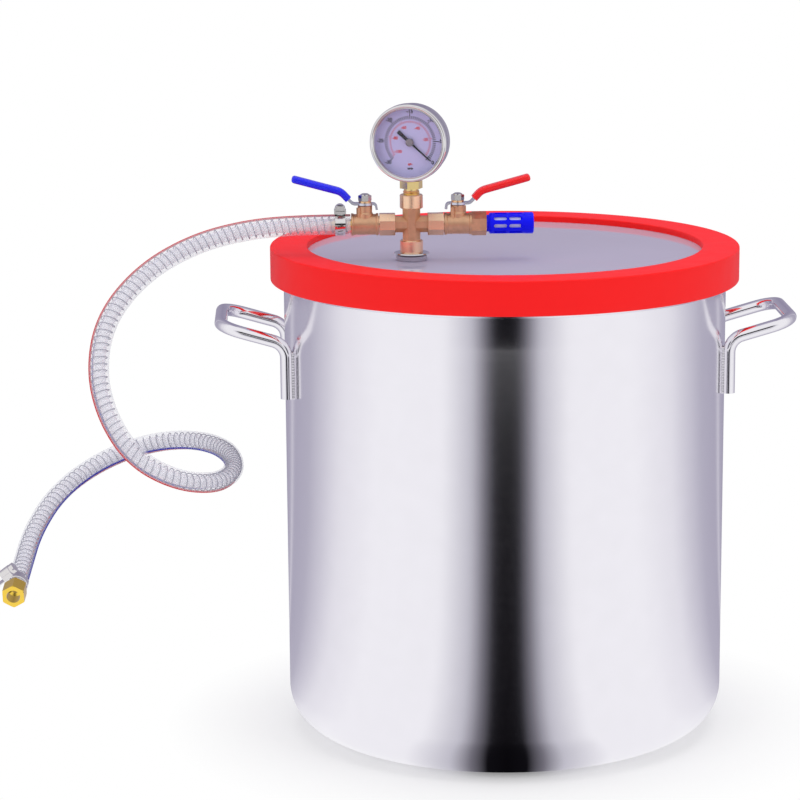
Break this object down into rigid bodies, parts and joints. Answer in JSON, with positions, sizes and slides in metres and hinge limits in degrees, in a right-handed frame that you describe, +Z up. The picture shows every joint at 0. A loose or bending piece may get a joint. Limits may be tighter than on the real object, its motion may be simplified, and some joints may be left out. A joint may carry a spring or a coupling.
{
  "type": "vacuum chamber",
  "caption": "Stainless pot with looped handles, a clear lid in a red silicone gasket and a brass manifold with a dial vacuum gauge, ball valves, a filter and a suction hose.",
  "frame": {"origin": "centre of the pot's base, at the level it stands on", "axes": "+Z up along the pot's axis; X through the handles, +X on the filter's side; -Y on the side that the gauge faces"},
  "size_m": [0.6334, 0.375, 0.5126],
  "materials": {
    "pot_steel": "satin",
    "handle_steel": "polished",
    "gasket_silicone": "satin",
    "lid_acrylic": "gloss",
    "brass": "satin",
    "seal_rubber": "matte",
    "washer_steel": "polished",
    "nut_steel": "polished",
    "cast_bronze": "matte",
    "yellow_brass": "satin",
    "gauge_chrome": "polished",
    "gauge_glass": "gloss",
    "dial_enamel": "matte",
    "needle_black": "matte",
    "tube_bronze": "satin",
    "movement_brass": "satin",
    "seat_ptfe": "matte",
    "ball_chrome": "polished",
    "lever_steel": "polished",
    "blue_vinyl": "gloss",
    "red_vinyl": "gloss",
    "filter_blue": "satin",
    "filter_white": "matte",
    "hose_pvc": "gloss",
    "polished_brass": "polished",
    "clamp_steel": "polished"
  },
  "bodies": {
    "pot": {"pot": "pot_steel", "handle_left": "handle_steel", "handle_right": "handle_steel"},
    "pump_lever": {"pump_valve_lever": "lever_steel", "pump_valve_sleeve": "blue_vinyl", "pump_valve_lever_washer": "brass", "pump_valve_lever_nut": "nut_steel", "pump_valve_spindle": "brass", "pump_valve_ball": "ball_chrome"},
    "vent_lever": {"vent_valve_lever": "lever_steel", "vent_valve_sleeve": "red_vinyl", "vent_valve_lever_washer": "brass", "vent_valve_lever_nut": "nut_steel", "vent_valve_spindle": "brass", "vent_valve_ball": "ball_chrome"},
    "needle": {"gauge_needle": "needle_black"},
    "lid_unit": {"gasket": "gasket_silicone", "lid": "lid_acrylic", "lid_nipple": "brass", "lid_seal_top": "seal_rubber", "lid_seal_bottom": "seal_rubber", "lid_washer_top": "washer_steel", "lid_washer_bottom": "washer_steel", "lid_nut": "nut_steel", "cross": "cast_bronze", "gauge_socket": "yellow_brass", "gauge_case": "gauge_chrome", "gauge_bezel": "gauge_chrome", "gauge_window": "gauge_glass", "gauge_dial": "dial_enamel", "gauge_bourdon_tube": "tube_bronze", "gauge_movement": "movement_brass", "pump_valve_body": "cast_bronze", "vent_valve_body": "cast_bronze", "vent_valve_end": "cast_bronze", "pump_valve_barb": "yellow_brass", "pump_valve_seats": "seat_ptfe", "vent_valve_seats": "seat_ptfe", "filter_cage": "filter_blue", "filter_cap": "filter_blue", "filter_element": "filter_white", "hose": "hose_pvc", "end_fitting": "polished_brass", "barb_clamp_band": "clamp_steel", "barb_clamp_housing": "clamp_steel", "barb_clamp_screw": "clamp_steel", "end_clamp_band": "clamp_steel", "end_clamp_housing": "clamp_steel", "end_clamp_screw": "clamp_steel"}
  },
  "joints": [
    {"name": "lid_lift", "type": "slide", "parent": "pot", "child": "lid_unit", "axis": [0, 0, 1], "range_m": [0, 0.25]},
    {"name": "pump_valve_turn", "type": "hinge", "parent": "lid_unit", "child": "pump_lever", "pos_m": [-0.1127, -0.0478, 0.4183], "axis": [0, 0, -1], "range_deg": [0, 90]},
    {"name": "vent_valve_turn", "type": "hinge", "parent": "lid_unit", "child": "vent_lever", "pos_m": [-0.0403, -0.0478, 0.4183], "axis": [0, 0, -1], "range_deg": [0, 90]},
    {"name": "needle_turn", "type": "hinge", "parent": "lid_unit", "child": "needle", "pos_m": [-0.0765, -0.0478, 0.4826], "axis": [-0.2419, -0.9703, 0], "range_deg": [0, 264], "stiffness_Nm_per_rad": 0.00001}
  ]
}
